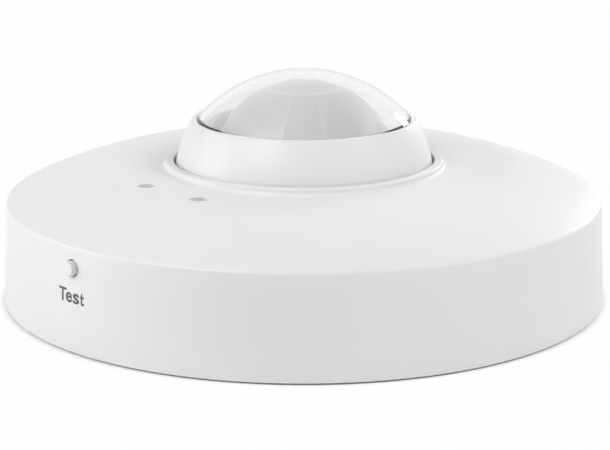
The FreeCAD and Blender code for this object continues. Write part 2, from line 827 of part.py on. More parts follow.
def smoothing_capacitors():
    cans = []
    top = board_top + capacitor_height
    groove_z = board_top + capacitor_height * 0.15
    edge = capacitor_radius * 0.1
    outline = [(0, board_top), (capacitor_radius - edge, board_top), (capacitor_radius, board_top + edge),
               (capacitor_radius, groove_z - edge), (capacitor_radius - edge, groove_z),
               (capacitor_radius, groove_z + edge), (capacitor_radius, top - edge),
               (capacitor_radius - edge, top), (0, top)]
    for angle in capacitor_angles:
        can = spin(outline)
        place = polar(head_foot_radius + capacitor_distance, angle)
        can.translate(Vector(place[0], place[1], 0))
        score = centred_box((capacitor_radius * 1.3, edge, edge), top - edge / 2, place)
        cans.append(can.cut(score))
    return cans


def varistor():
    x, y = polar(head_foot_radius + varistor_distance, varistor_angle)
    centre = board_top + varistor_lift + varistor_radius
    disc = rod_y(varistor_radius, y - varistor_thickness / 2, y + varistor_thickness / 2, centre, x)
    rims = [edge for edge in disc.Edges if isinstance(edge.Curve, Part.Circle)]
    disc = disc.makeChamfer(varistor_thickness * 0.25, rims)
    spread = varistor_radius * 0.4
    legs = [cylinder(lead_radius, board_top, centre - varistor_radius * 0.6, (x + side * spread, y))
            for side in (-1, 1)]
    return join(disc, *legs)


def fuse():
    top = board_top + fuse_height
    body = cylinder(fuse_radius, board_top, top, polar(head_foot_radius + fuse_distance, fuse_angle))
    rim = [edge for edge in body.Edges if isinstance(edge.Curve, Part.Circle)
           and abs(edge.Curve.Center.z - top) < 0.001]
    return body.makeChamfer(fuse_radius * 0.15, rim)


def chip(size, side, legs):
    """Moulded chip beside the terminal block, with a row of flat legs on each long side."""
    place = (side * (terminal_half + chip_gap + size[0] / 2), board_edge_y - chip_edge - size[1] / 2)
    body = centred_box((size[0], size[1], size[2] - chip_stand), board_top + chip_stand, place)
    top_edges = [edge for edge in body.Edges if abs(edge.CenterOfMass.z - board_top - size[2]) < 0.001]
    body = body.makeChamfer(chip_chamfer, top_edges)
    pitch = size[1] / legs
    pieces = []
    for count in range(legs):
        y = place[1] - size[1] / 2 + (count + 0.5) * pitch
        leg = (size[0] + 2 * chip_leg, pitch * 0.4, size[2] * 0.45)
        pieces.append(centred_box(leg, board_top, (place[0], y)))
    return join(body, *pieces)


def dropper_resistor():
    reach = head_foot_radius + resistor_distance
    start = Vector(-resistor_length / 2, -reach, board_top + resistor_radius)
    body = Part.makeCylinder(resistor_radius, resistor_length, start, Vector(1, 0, 0))
    rims = [edge for edge in body.Edges if isinstance(edge.Curve, Part.Circle)]
    body = body.makeChamfer(resistor_radius * 0.3, rims)
    return turned(body, resistor_angle)


os.makedirs("parts", exist_ok=True)

save("front_cover", front_cover())
save("lens", lens())
save("lens_ring", lens_ring())
save("head_housing", head_housing())
save("head_screws", head_screws())
sensor_stack()

save("base_plate", base_plate())
save("cable_grommet", cable_grommet())
save("main_board", main_board())
save("board_screws", board_screws())

save("test_button", test_button())
save("tact_switch", tact_switch())
save("tact_plunger", tact_plunger())

save("status_light_guide", light_guide(guide_places()[0], board_top + led_height))
save("lux_light_guide", light_guide(guide_places()[1], board_top + light_chip_height))
save("status_led", status_led())
save("light_sensor", light_sensor())

save("terminal_block", terminal_block())
save("terminal_clamps", terminal_clamps())
save("terminal_screws", terminal_screws())

save("relay", on_board(relay_size, 1))
save("film_capacitor", on_board(film_capacitor_size, -1))
for name, side in (("time", -1), ("lux", 1)):
    trimmer_body, trimmer_rotor = trimmer(side)
    save(name + "_trimmer", trimmer_body)
    save(name + "_rotor", trimmer_rotor)
save("smoothing_capacitors", smoothing_capacitors())
save("varistor", varistor())
save("fuse", fuse())
save("rectifier", chip(rectifier_size, -1, rectifier_legs))
save("microcontroller", chip(controller_size, 1, controller_legs))
save("dropper_resistor", dropper_resistor())
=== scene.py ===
import math

import bmesh
import bpy
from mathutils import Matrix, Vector


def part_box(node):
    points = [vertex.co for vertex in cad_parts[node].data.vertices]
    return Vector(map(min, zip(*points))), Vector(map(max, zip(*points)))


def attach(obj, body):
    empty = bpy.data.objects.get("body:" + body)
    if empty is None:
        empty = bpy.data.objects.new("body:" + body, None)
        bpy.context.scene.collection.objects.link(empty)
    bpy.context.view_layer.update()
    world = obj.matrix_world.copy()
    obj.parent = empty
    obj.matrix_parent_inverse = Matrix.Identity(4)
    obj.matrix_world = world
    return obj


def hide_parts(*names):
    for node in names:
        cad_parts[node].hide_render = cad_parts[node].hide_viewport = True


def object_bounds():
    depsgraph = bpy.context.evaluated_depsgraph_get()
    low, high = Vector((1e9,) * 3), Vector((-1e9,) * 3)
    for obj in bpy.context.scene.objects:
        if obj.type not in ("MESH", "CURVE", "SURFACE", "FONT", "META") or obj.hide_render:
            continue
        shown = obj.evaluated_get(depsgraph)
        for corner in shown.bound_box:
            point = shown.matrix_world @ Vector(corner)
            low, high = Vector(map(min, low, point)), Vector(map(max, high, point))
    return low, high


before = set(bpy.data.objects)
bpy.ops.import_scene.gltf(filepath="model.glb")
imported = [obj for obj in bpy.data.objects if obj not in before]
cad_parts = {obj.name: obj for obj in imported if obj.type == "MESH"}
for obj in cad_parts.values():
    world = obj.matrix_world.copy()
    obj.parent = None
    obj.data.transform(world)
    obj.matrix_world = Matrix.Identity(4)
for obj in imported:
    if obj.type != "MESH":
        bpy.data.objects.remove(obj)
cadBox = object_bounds()
print("frame loaded:", len(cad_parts), "nodes")

mm = 0.001
fullTurn = 2 * math.pi


# selecting and shaping

def clearSelection():
    if bpy.context.mode != "OBJECT":
        bpy.ops.object.mode_set(mode="OBJECT")
    bpy.ops.object.select_all(action="DESELECT")


def focus(piece):
    clearSelection()
    piece.select_set(True)
    bpy.context.view_layer.objects.active = piece


def openMesh(piece, mode="VERT"):
    focus(piece)
    bpy.ops.object.mode_set(mode="EDIT")
    bpy.ops.mesh.select_mode(type=mode)
    bpy.ops.mesh.select_all(action="DESELECT")


def closeMesh():
    bpy.ops.object.mode_set(mode="OBJECT")


def middle(element):
    total = Vector((0, 0, 0))
    for vert in element.verts:
        total += vert.co
    return total / len(element.verts) / mm


def selectVerts(piece, wanted):
    mesh = bmesh.from_edit_mesh(piece.data)
    for vert in mesh.verts:
        vert.select_set(wanted(vert.co / mm))
    mesh.select_flush_mode()
    bmesh.update_edit_mesh(piece.data)


def selectEdges(piece, wanted):
    mesh = bmesh.from_edit_mesh(piece.data)
    mesh.faces.ensure_lookup_table()
    for edge in mesh.edges:
        edge.select_set(wanted(middle(edge), edge))
    mesh.select_flush_mode()
    bmesh.update_edit_mesh(piece.data)


def selectFaces(piece, wanted):
    mesh = bmesh.from_edit_mesh(piece.data)
    for face in mesh.faces:
        face.select_set(wanted(middle(face), face.normal))
    mesh.select_flush_mode()
    bmesh.update_edit_mesh(piece.data)


def tidyMesh(piece, weld=0.0004):
    openMesh(piece)
    bpy.ops.mesh.select_all(action="SELECT")
    bpy.ops.mesh.remove_doubles(threshold=weld * mm)
    bpy.ops.mesh.normals_make_consistent(inside=False)
    closeMesh()


def smooth(piece, degrees=30):
    focus(piece)
    bpy.ops.object.shade_smooth_by_angle(angle=math.radians(degrees))


def applyModifier(piece, modifier):
    focus(piece)
    bpy.ops.object.modifier_apply(modifier=modifier.name)


def combine(piece, other, operation, materials="INDEX"):
    modifier = piece.modifiers.new("combine", "BOOLEAN")
    modifier.material_mode = materials
    modifier.operation = operation
    modifier.solver = "EXACT"
    modifier.object = other
    applyModifier(piece, modifier)
    bpy.data.objects.remove(other)


def arcPoints(centre, radius, start, end, steps):
    points = []
    for step in range(steps + 1):
        angle = start + (end - start) * step / steps
        points.append((centre[0] + radius * math.cos(angle), centre[1] + radius * math.sin(angle)))
    return points


def roundCorner(piece, corner, reach, steps=4):
    # rounds one corner of an outline that isn't turned yet
    openMesh(piece)
    selectVerts(piece, lambda place: math.hypot(place.x - corner[0], place.z - corner[1]) < 0.001)
    bpy.ops.mesh.bevel(offset=reach * mm, offset_type="OFFSET", segments=steps, affect="VERTICES")
    closeMesh()


def drawOutline(name, points, rounds=()):
    # points are (radius, height); rounds are (radius, height, reach)
    clearSelection()
    bpy.ops.mesh.primitive_plane_add(size=mm, location=(points[0][0] * mm, 0, points[0][1] * mm))
    piece = bpy.context.object
    piece.name = name
    bpy.ops.object.transform_apply(location=True, rotation=True, scale=True)
    bpy.ops.object.mode_set(mode="EDIT")
    bpy.ops.mesh.select_mode(type="VERT")
    bpy.ops.mesh.select_all(action="SELECT")
    bpy.ops.mesh.merge(type="CENTER")
    for last, place in zip(points, points[1:]):
        step = ((place[0] - last[0]) * mm, 0, (place[1] - last[1]) * mm)
        bpy.ops.mesh.extrude_vertices_move(TRANSFORM_OT_translate={"value": step})
    bpy.ops.mesh.select_all(action="SELECT")
    bpy.ops.mesh.remove_doubles(threshold=0.0001 * mm)
    closeMesh()
    for radius, height, reach in rounds:
        roundCorner(piece, (radius, height), reach)
    return piece


def turnOutline(piece, steps):
    openMesh(piece)
    bpy.ops.mesh.select_all(action="SELECT")
    bpy.ops.mesh.spin(steps=steps, angle=fullTurn, center=(0, 0, 0), axis=(0, 0, 1))
    closeMesh()
    tidyMesh(piece)
    return piece


def addRod(radius, start, end, steps=64):
    # plain round cutter between two points
    start, end = Vector(start) * mm, Vector(end) * mm
    turn = (end - start).to_track_quat("Z", "Y").to_euler()
    clearSelection()
    bpy.ops.mesh.primitive_cylinder_add(vertices=steps, radius=radius * mm, depth=(end - start).length,
                                        location=(start + end) / 2, rotation=turn)
    bpy.ops.object.transform_apply(location=True, rotation=True, scale=True)
    return bpy.context.object


def nodeBox(node):
    low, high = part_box(node)
    return Vector(low) / mm, Vector(high) / mm


def finishPiece(piece, material, body, nodes=()):
    if material:
        piece.data.materials.clear()
        piece.data.materials.append(material)
    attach(piece, body)
    if nodes:
        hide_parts(*nodes)
    print("made", piece.name, len(piece.data.polygons), "faces")


# finishes

def newGroup(name, inputs, outputs):
    group = bpy.data.node_groups.new(name, "ShaderNodeTree")
    for label, value in inputs:
        socket = group.interface.new_socket(name=label, in_out="INPUT", socket_type="NodeSocketFloat")
        socket.default_value = value
    for label, kind in outputs:
        group.interface.new_socket(name=label, in_out="OUTPUT", socket_type=kind)
    return group, group.nodes.new("NodeGroupInput"), group.nodes.new("NodeGroupOutput")


def makeMouldedGrain():
    # fine spark-eroded grain, with a slow drift of tone and gloss across the moulding
    group, inside, outside = newGroup("mouldedGrain", [("Grain", 2400.0), ("Drift", 45.0)],
                                      [("Height", "NodeSocketFloat"), ("Tone", "NodeSocketFloat"),
                                       ("Gloss", "NodeSocketFloat")])
    nodes, links = group.nodes, group.links
    place = nodes.new("ShaderNodeTexCoord")
    fine = nodes.new("ShaderNodeTexNoise")
    fine.inputs["Detail"].default_value = 3.0
    slow = nodes.new("ShaderNodeTexNoise")
    slow.inputs["Detail"].default_value = 2.0
    patch = nodes.new("ShaderNodeTexNoise")
    patch.inputs["Scale"].default_value = 140.0
    for texture in (fine, slow, patch):
        links.new(place.outputs["Object"], texture.inputs["Vector"])
    links.new(inside.outputs["Grain"], fine.inputs["Scale"])
    links.new(inside.outputs["Drift"], slow.inputs["Scale"])
    links.new(fine.outputs["Fac"], outside.inputs["Height"])
    links.new(slow.outputs["Fac"], outside.inputs["Tone"])
    links.new(patch.outputs["Fac"], outside.inputs["Gloss"])
    return group


def makeDrawnLines():
    # fine level lines left by turning or rolling metal, under a slow cloud of dullness
    group, inside, outside = newGroup("drawnLines", [("Across", 9000.0), ("Along", 350.0)],
                                      [("Height", "NodeSocketFloat"), ("Tone", "NodeSocketFloat"),
                                       ("Gloss", "NodeSocketFloat")])
    nodes, links = group.nodes, group.links
    place = nodes.new("ShaderNodeTexCoord")
    scales = nodes.new("ShaderNodeCombineXYZ")
    links.new(inside.outputs["Along"], scales.inputs["X"])
    links.new(inside.outputs["Along"], scales.inputs["Y"])
    links.new(inside.outputs["Across"], scales.inputs["Z"])
    stretch = nodes.new("ShaderNodeVectorMath")
    stretch.operation = "MULTIPLY"
    links.new(place.outputs["Object"], stretch.inputs[0])
    links.new(scales.outputs["Vector"], stretch.inputs[1])
    lines = nodes.new("ShaderNodeTexNoise")
    lines.inputs["Scale"].default_value = 1.0
    lines.inputs["Detail"].default_value = 3.0
    links.new(stretch.outputs["Vector"], lines.inputs["Vector"])
    cloud = nodes.new("ShaderNodeTexNoise")
    cloud.inputs["Scale"].default_value = 260.0
    links.new(place.outputs["Object"], cloud.inputs["Vector"])
    links.new(lines.outputs["Fac"], outside.inputs["Height"])
    links.new(lines.outputs["Fac"], outside.inputs["Tone"])
    links.new(cloud.outputs["Fac"], outside.inputs["Gloss"])
    return group


def makeFacingMask():
    # 1 on faces that look along one axis: Up counts faces that look up, Side those that look to +X
    group, inside, outside = newGroup("facingMask", [("Limit", 0.9)],
                                      [("Up", "NodeSocketFloat"), ("Side", "NodeSocketFloat")])
    nodes, links = group.nodes, group.links
    place = nodes.new("ShaderNodeTexCoord")
    split = nodes.new("ShaderNodeSeparateXYZ")
    links.new(place.outputs["Normal"], split.inputs["Vector"])
    for axis, name in (("Z", "Up"), ("X", "Side")):
        test = nodes.new("ShaderNodeMath")
        test.operation = "GREATER_THAN"
        links.new(split.outputs[axis], test.inputs[0])
        links.new(inside.outputs["Limit"], test.inputs[1])
        links.new(test.outputs[0], outside.inputs[name])
    return group


mouldedGrain = makeMouldedGrain()
drawnLines = makeDrawnLines()
facingMask = makeFacingMask()


def placeGroup(nodes, group, **values):
    node = nodes.new("ShaderNodeGroup")
    node.node_tree = group
    for name, value in values.items():
        node.inputs[name].default_value = value
    return node


def newMaterial(name):
    material = bpy.data.materials.new(name)
    material.use_nodes = True
    nodes = material.node_tree.nodes
    return material, nodes, material.node_tree.links, nodes["Principled BSDF"]


def mapped(nodes, links, source, low, high):
    change = nodes.new("ShaderNodeMapRange")
    change.inputs["To Min"].default_value = low
    change.inputs["To Max"].default_value = high
    links.new(source, change.inputs["Value"])
    return change.outputs["Result"]


def mixedColour(nodes, links, factor, first, second):
    mix = nodes.new("ShaderNodeMix")
    mix.data_type = "RGBA"
    mix.inputs[6].default_value = (*first, 1)
    mix.inputs[7].default_value = (*second, 1)
    links.new(factor, mix.inputs[0])
    return mix.outputs[2]


def addBump(nodes, links, height, shader, strength, distance):
    bump = nodes.new("ShaderNodeBump")
    bump.inputs["Strength"].default_value = strength
    bump.inputs["Distance"].default_value = distance * mm
    links.new(height, bump.inputs["Height"])
    links.new(bump.outputs["Normal"], shader.inputs["Normal"])


def mouldedPlastic(name, colour, gloss=(0.38, 0.46), grain=2400.0, depth=0.004, drift=0.015):
    material, nodes, links, shader = newMaterial(name)
    pattern = placeGroup(nodes, mouldedGrain, Grain=grain)
    darker = [max(channel * (1 - drift), 0) for channel in colour]
    lighter = [min(channel * (1 + drift), 1) for channel in colour]
    links.new(mixedColour(nodes, links, pattern.outputs["Tone"], darker, lighter),
              shader.inputs["Base Color"])
    links.new(mapped(nodes, links, pattern.outputs["Gloss"], *gloss), shader.inputs["Roughness"])
    addBump(nodes, links, pattern.outputs["Height"], shader, 0.2, depth)
    return material


def clearPlastic(name, colour, roughness, through=1.0, refraction=1.49):
    # lamps shine through the wall, so that what is behind it isn't left in the dark
    material, nodes, links, shader = newMaterial(name)
    pattern = placeGroup(nodes, mouldedGrain)
    darker = [channel * 0.99 for channel in colour]
    links.new(mixedColour(nodes, links, pattern.outputs["Tone"], darker, colour),
              shader.inputs["Base Color"])
    links.new(mapped(nodes, links, pattern.outputs["Gloss"], roughness * 0.8, roughness * 1.2),
              shader.inputs["Roughness"])
    shader.inputs["Transmission Weight"].default_value = through
    shader.inputs["IOR"].default_value = refraction
    path = nodes.new("ShaderNodeLightPath")
    lampPath = nodes.new("ShaderNodeBsdfTransparent")
    lampPath.inputs["Color"].default_value = (1, 1, 1, 1)
    mix = nodes.new("ShaderNodeMixShader")
    links.new(path.outputs["Is Shadow Ray"], mix.inputs[0])
    links.new(shader.outputs[0], mix.inputs[1])
    links.new(lampPath.outputs[0], mix.inputs[2])
    links.new(mix.outputs[0], nodes["Material Output"].inputs["Surface"])
    return material


def brightMetal(name, colour, gloss=(0.25, 0.4), across=9000.0):
    material, nodes, links, shader = newMaterial(name)
    pattern = placeGroup(nodes, drawnLines, Across=across)
    darker = [channel * 0.8 for channel in colour]
    links.new(mixedColour(nodes, links, pattern.outputs["Tone"], darker, colour),
              shader.inputs["Base Color"])
    links.new(mapped(nodes, links, pattern.outputs["Gloss"], *gloss), shader.inputs["Roughness"])
    addBump(nodes, links, pattern.outputs["Height"], shader, 0.25, 0.006)
    shader.inputs["Metallic"].default_value = 1.0
    return material


def sleevedCan(name, sleeve, stripe, metal):
    # printed sleeve with its pale stripe down one side and the bare can on top
    material, nodes, links, shader = newMaterial(name)
    facing = placeGroup(nodes, facingMask)
    pattern = placeGroup(nodes, mouldedGrain, Grain=900.0)
    band = mixedColour(nodes, links, facing.outputs["Side"], sleeve, stripe)
    mix = nodes.new("ShaderNodeMix")
    mix.data_type = "RGBA"
    mix.inputs[7].default_value = (*metal, 1)
    links.new(facing.outputs["Up"], mix.inputs[0])
    links.new(band, mix.inputs[6])
    links.new(mix.outputs[2], shader.inputs["Base Color"])
    links.new(facing.outputs["Up"], shader.inputs["Metallic"])
    links.new(mapped(nodes, links, pattern.outputs["Gloss"], 0.22, 0.4), shader.inputs["Roughness"])
    addBump(nodes, links, pattern.outputs["Height"], shader, 0.2, 0.01)
    return material


def bandedResistor(name, body, bands, centre, turn, length):
    # coloured rings across the body, spread evenly along its axis
    material, nodes, links, shader = newMaterial(name)
    place = nodes.new("ShaderNodeTexCoord")
    reach = nodes.new("ShaderNodeVectorMath")
    reach.operation = "SUBTRACT"
    reach.inputs[1].default_value = centre
    distance = nodes.new("ShaderNodeVectorMath")
    distance.operation = "DOT_PRODUCT"
    distance.inputs[1].default_value = (math.cos(turn), math.sin(turn), 0)
    links.new(place.outputs["Object"], reach.inputs[0])
    links.new(reach.outputs["Vector"], distance.inputs[0])
    share = nodes.new("ShaderNodeMapRange")
    share.inputs["From Min"].default_value = -length / 2 * mm
    share.inputs["From Max"].default_value = length / 2 * mm
    links.new(distance.outputs["Value"], share.inputs["Value"])
    ramp = nodes.new("ShaderNodeValToRGB")
    ramp.color_ramp.interpolation = "CONSTANT"
    ramp.color_ramp.elements[0].color = (*body, 1)
    ramp.color_ramp.elements[1].color = (*body, 1)
    for count, colour in enumerate(bands):
        edge = (count + 1) / (len(bands) + 1)
        ramp.color_ramp.elements.new(edge - 0.04).color = (*colour, 1)
        ramp.color_ramp.elements.new(edge + 0.04).color = (*body, 1)
    links.new(share.outputs["Result"], ramp.inputs["Fac"])
    links.new(ramp.outputs["Color"], shader.inputs["Base Color"])
    pattern = placeGroup(nodes, mouldedGrain, Grain=1500.0)
    links.new(mapped(nodes, links, pattern.outputs["Gloss"], 0.3, 0.5), shader.inputs["Roughness"])
    addBump(nodes, links, pattern.outputs["Height"], shader, 0.3, 0.02)
    return material


def circuitBoard(name, mask, copper, laminate):
    # solder mask over copper tracks that run one way in some fields and across in others
    material, nodes, links, shader = newMaterial(name)
    place = nodes.new("ShaderNodeTexCoord")
    fields = nodes.new("ShaderNodeTexVoronoi")
    fields.distance = "CHEBYCHEV"
    fields.inputs["Scale"].default_value = 110.0
    links.new(place.outputs["Object"], fields.inputs["Vector"])
    choice = nodes.new("ShaderNodeSeparateColor")
    links.new(fields.outputs["Color"], choice.inputs[0])
    tracks = []
    for direction in ("X", "Y"):
        lines = nodes.new("ShaderNodeTexWave")
        lines.bands_direction = direction
        lines.inputs["Scale"].default_value = 190.0
        links.new(place.outputs["Object"], lines.inputs["Vector"])
        tracks.append(lines.outputs["Fac"])
    turn = nodes.new("ShaderNodeMath")
    turn.operation = "GREATER_THAN"
    turn.inputs[1].default_value = 0.5
    links.new(choice.outputs[0], turn.inputs[0])
    pick = nodes.new("ShaderNodeMix")
    links.new(turn.outputs[0], pick.inputs[0])
    links.new(tracks[0], pick.inputs[2])
    links.new(tracks[1], pick.inputs[3])
    edge = nodes.new("ShaderNodeMapRange")
    edge.inputs["From Min"].default_value = 0.55
    edge.inputs["From Max"].default_value = 0.62
    links.new(pick.outputs[0], edge.inputs["Value"])
    surface = mixedColour(nodes, links, edge.outputs["Result"], mask, copper)
    level = nodes.new("ShaderNodeSeparateXYZ")
    size = nodes.new("ShaderNodeMath")
    size.operation = "ABSOLUTE"
    side = nodes.new("ShaderNodeMath")
    side.operation = "LESS_THAN"
    side.inputs[1].default_value = 0.5
    links.new(place.outputs["Normal"], level.inputs["Vector"])
    links.new(level.outputs["Z"], size.inputs[0])
    links.new(size.outputs[0], side.inputs[0])
    mix = nodes.new("ShaderNodeMix")
    mix.data_type = "RGBA"
    mix.inputs[7].default_value = (*laminate, 1)
    links.new(side.outputs[0], mix.inputs[0])
    links.new(surface, mix.inputs[6])
    links.new(mix.outputs[2], shader.inputs["Base Color"])
    links.new(mapped(nodes, links, choice.outputs[1], 0.28, 0.36), shader.inputs["Roughness"])
    addBump(nodes, links, edge.outputs["Result"], shader, 0.5, 0.035)
    return material


shellWhite = mouldedPlastic("shellWhite", (0.80, 0.80, 0.80))
buttonWhite = mouldedPlastic("buttonWhite", (0.82, 0.82, 0.815), gloss=(0.30, 0.38))
baseWhite = mouldedPlastic("baseWhite", (0.74, 0.74, 0.73), gloss=(0.45, 0.55))
lensClear = clearPlastic("lensClear", (0.97, 0.975, 0.98), 0.03)
lensFrosted = clearPlastic("lensFrosted", (0.50, 0.50, 0.50), 0.3, through=0.45)
# paler than lensFrosted: a painted highlight on the seam chamfers and tier steps of the inner dome
lensSeamHighlight = clearPlastic("lensSeamHighlight", (0.54, 0.54, 0.54), 0.3, through=0.45)
bushRubber = mouldedPlastic("bushRubber", (0.025, 0.025, 0.026), gloss=(0.6, 0.75), grain=1200.0, depth=0.02)
zincSteel = brightMetal("zincSteel", (0.62, 0.62, 0.63))
trimmerBlue = mouldedPlastic("trimmerBlue", (0.04, 0.13, 0.42), gloss=(0.35, 0.5), grain=1300.0, depth=0.015)
rotorCream = mouldedPlastic("rotorCream", (0.82, 0.78, 0.66), gloss=(0.35, 0.5), grain=1300.0, depth=0.015)
lightGuide = clearPlastic("lightGuide", (0.92, 0.93, 0.94), 0.06)
labelInk = mouldedPlastic("labelInk", (0.10, 0.10, 0.10), gloss=(0.5, 0.6))
blackEpoxy = mouldedPlastic("blackEpoxy", (0.022, 0.022, 0.024), gloss=(0.4, 0.55), grain=1500.0, depth=0.02,
                            drift=0.15)

resistor = {
    "body": (0.42, 0.52, 0.47),
    "bands": ((0.60, 0.03, 0.02), (0.10, 0.02, 0.30), (0.02, 0.02, 0.02), (0.55, 0.38, 0.08)),
    "centre": [(low + high) / 2 for low, high in zip(*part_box("dropper_resistor"))],
    "turn": math.radians(-106.0),
    "length": 11.0,
}

nodeFinishes = {
    "base_plate": baseWhite,
    "head_housing": mouldedPlastic("chamberWhite", (0.90, 0.90, 0.90), gloss=(0.45, 0.55)),
    "cable_grommet": bushRubber,
    "sensor_spacer": blackEpoxy,
    "tact_switch": blackEpoxy,
    "tact_plunger": blackEpoxy,
    "light_sensor": blackEpoxy,
    "rectifier": blackEpoxy,
    "microcontroller": blackEpoxy,
    "head_screws": zincSteel,
    "board_screws": zincSteel,
    "terminal_screws": zincSteel,
    "pir_sensor": brightMetal("sensorCan", (0.66, 0.66, 0.67), gloss=(0.18, 0.3), across=16000.0),
    "terminal_clamps": brightMetal("tinnedBrass", (0.78, 0.70, 0.50)),
    "pir_window": mouldedPlastic("infraredFilter", (0.03, 0.026, 0.032), gloss=(0.08, 0.14)),
    "main_board": circuitBoard("solderMask", (0.012, 0.12, 0.045), (0.03, 0.22, 0.08), (0.42, 0.38, 0.20)),
    "relay": mouldedPlastic("relayBlue", (0.035, 0.06, 0.16), gloss=(0.28, 0.4), grain=1300.0, depth=0.015),
    "film_capacitor": mouldedPlastic("capacitorYellow", (0.72, 0.55, 0.07), gloss=(0.25, 0.4), grain=1100.0,
                                     depth=0.02, drift=0.04),
    "smoothing_capacitors": sleevedCan("capacitorSleeve", (0.03, 0.04, 0.09), (0.62, 0.64, 0.68),
                                       (0.75, 0.75, 0.76)),
    "varistor": mouldedPlastic("dippedBlue", (0.05, 0.14, 0.45), gloss=(0.18, 0.32), grain=500.0, depth=0.06,
                               drift=0.06),
    "fuse": mouldedPlastic("fuseBrown", (0.26, 0.10, 0.045), gloss=(0.25, 0.38), grain=900.0, depth=0.02),
    "dropper_resistor": bandedResistor("resistorBands", **resistor),
    "terminal_block": mouldedPlastic("terminalGreen", (0.04, 0.22, 0.09), gloss=(0.35, 0.5), grain=1300.0,
                                     depth=0.02, drift=0.03),
    "time_trimmer": trimmerBlue,
    "lux_trimmer": trimmerBlue,
    "time_rotor": rotorCream,
    "lux_rotor": rotorCream,
    "status_led": clearPlastic("tintedRed", (0.75, 0.06, 0.04), 0.08, through=0.7),
    "status_light_guide": lightGuide,
    "lux_light_guide": lightGuide,
}
for nodeName, finish in nodeFinishes.items():
    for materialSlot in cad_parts[nodeName].material_slots:
        materialSlot.material = finish
print("finishes ready")


# front cover

cover = {
    "steps": 360,
    "bottomRadius": 55.0,
    "wallLean": 0.9,
    "wall": 2.0,
    "rimHeight": 18.3,
    "rimRound": 0.4,
    "bottomRound": 0.12,
    "crestRadius": 38.5,
    "crestHeight": 23.9,
    "domeRadius": 66.0,
    "crestRound": 8.0,
    "collarOuter": 25.37,
    "collarInner": 23.77,
    "collarFoot": 23.65,
    "footRound": 0.85,
    "collarRound": 0.3,
    "mouthRound": 0.15,
    "collarBore": 24.3,
    "collarTube": 25.9,
    "boreHeight": 20.9,
    "undersideHeight": 21.65,
    "windowCircle": 32.8,
    "windowAngle": 12.0,
    "window": 1.5,
    "windowWall": 1.3,
    "windowDepth": 4.3,
    "buttonHole": 1.52,
    "buttonBore": 2.25,
    "buttonWall": 1.0,
    "buttonSkin": 2.3,
    "buttonGuide": 5.0,
    "holeRound": 0.12,
    "ledges": (45.0, 135.0, 225.0, 315.0),
    "ledgeInner": 51.15,
    "ledgeTop": 9.1,
    "ledgeHeight": 1.6,
    "ledgeWidth": 9.0,
    "gussets": 16,
    "gussetThickness": 1.2,
    "gussetWidth": 6.0,
    "gussetHeight": 5.0,
}


def wallRadius(height, inset=0.0):
    bottom = nodeBox("front_cover")[0].z
    share = (height - bottom) / (cover["rimHeight"] - bottom)
    return cover["bottomRadius"] - cover["wallLean"] * share - inset


def flatHeight(radius):
    # surface between the collar and the crest
    share = (cover["crestRadius"] - radius) / (cover["crestRadius"] - cover["collarOuter"])
    return cover["crestHeight"] + (cover["collarFoot"] - cover["crestHeight"]) * share


def buttonMiddle():
    low, high = nodeBox("test_button")
    return (low.z + high.z) / 2


def windowPlaces():
    for side in (-1, 1):
        angle = math.radians(side * cover["windowAngle"])
        yield cover["windowCircle"] * math.sin(angle), -cover["windowCircle"] * math.cos(angle)


def circleThrough(start, end, radius):
    # centre of the arc that bulges up and outwards between two points
    chord = Vector((end[0] - start[0], end[1] - start[1]))
    across = Vector((chord.y, -chord.x)).normalized()
    if across.y > 0:
        across = -across
    reach = math.sqrt(radius ** 2 - (chord.length / 2) ** 2)
    return Vector(((start[0] + end[0]) / 2, (start[1] + end[1]) / 2)) + across * reach


def domeLine():
    # rim to crest on a wide arc, then a soft round into the flat zone
    rim = (cover["bottomRadius"] - cover["wallLean"], cover["rimHeight"])
    crest = Vector((cover["crestRadius"], cover["crestHeight"]))
    foot = Vector((cover["collarOuter"], cover["collarFoot"]))
    centre = circleThrough(rim, crest, cover["domeRadius"])
    along = (foot - crest).normalized()
    up = Vector((-along.y, along.x))
    if up.y < 0:
        up = -up
    start = crest - up * cover["crestRound"]
    offset = start - centre
    reach = cover["domeRadius"] - cover["crestRound"]
    half = offset.dot(along)
    travel = -half + math.sqrt(half ** 2 - offset.length_squared + reach ** 2)
    other = -half - math.sqrt(half ** 2 - offset.length_squared + reach ** 2)
    travel = min(travel, other, key=abs)
    softCentre = start + along * travel
    turn = math.atan2(softCentre.y - centre.y, softCentre.x - centre.x)
    first = math.atan2(rim[1] - centre.y, rim[0] - centre.x)
    last = math.atan2(up.y, up.x)
    points = arcPoints(centre, cover["domeRadius"], first, turn, 22)
    return points + arcPoints(softCentre, cover["crestRound"], turn, last, 10)[1:]


def turnedCopy(piece, degrees):
    # copy with its own mesh, turned about the lens axis
    copy = piece.copy()
    copy.data = piece.data.copy()
    bpy.context.collection.objects.link(copy)
    copy.rotation_euler.z = math.radians(degrees)
    focus(copy)
    bpy.ops.object.transform_apply(location=True, rotation=True, scale=True)
    return copy


def joinPieces(pieces):
    clearSelection()
    for piece in pieces:
        piece.select_set(True)
    bpy.context.view_layer.objects.active = pieces[0]
    bpy.ops.object.join()
    return pieces[0]


def fillOutline(piece, thickness):
    # closes a flat outline and gives it a thickness, half to each side
    openMesh(piece)
    bpy.ops.mesh.select_all(action="SELECT")
    bpy.ops.mesh.edge_face_add()
    bpy.ops.transform.translate(value=(0, -thickness / 2 * mm, 0))
    bpy.ops.mesh.extrude_region_move(TRANSFORM_OT_translate={"value": (0, thickness * mm, 0)})
    closeMesh()
    tidyMesh(piece)
    return piece


